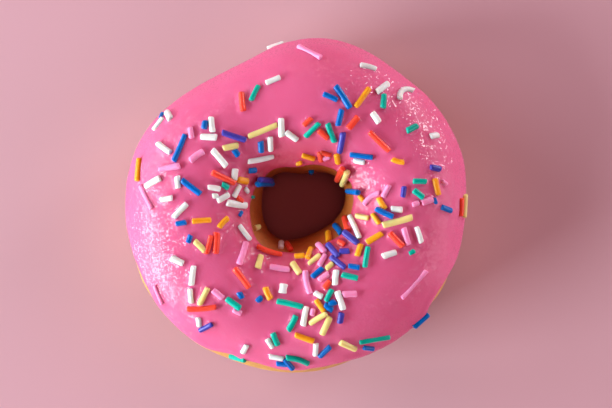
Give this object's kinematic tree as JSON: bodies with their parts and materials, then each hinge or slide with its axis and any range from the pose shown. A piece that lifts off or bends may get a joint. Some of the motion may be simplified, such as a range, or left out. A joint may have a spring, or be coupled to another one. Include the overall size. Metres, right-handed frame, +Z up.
{
  "type": "sprinkle frosted ring doughnut",
  "caption": "Fried ring doughnut capped with pink frosting and scattered with coloured sugar sprinkles, lying flat on its base.",
  "frame": {"origin": "on the resting plane, under the middle of the doughnut's outline", "axes": "+Z up through the hole from the base to the frosted crown; +X and +Y lie in the resting plane, +Y towards the edge that is farthest in the camera's view"},
  "size_m": [0.0848, 0.0834, 0.0314],
  "materials": {
    "dough": "fried golden crust, slightly oily, with a paler band round the waist",
    "frosting": "pink sugar frosting, satin, set",
    "sprinkle_white": "white sugar sprinkle, satin",
    "sprinkle_yellow": "yellow sugar sprinkle, satin",
    "sprinkle_orange": "orange sugar sprinkle, satin",
    "sprinkle_red": "red sugar sprinkle, satin",
    "sprinkle_pink": "pink sugar sprinkle, satin",
    "sprinkle_green": "green sugar sprinkle, satin",
    "sprinkle_blue": "blue sugar sprinkle, satin",
    "sprinkle_indigo": "indigo sugar sprinkle, satin"
  },
  "bodies": {
    "root": {"dough": "dough", "frosting": "frosting"}
  },
  "joints": []
}
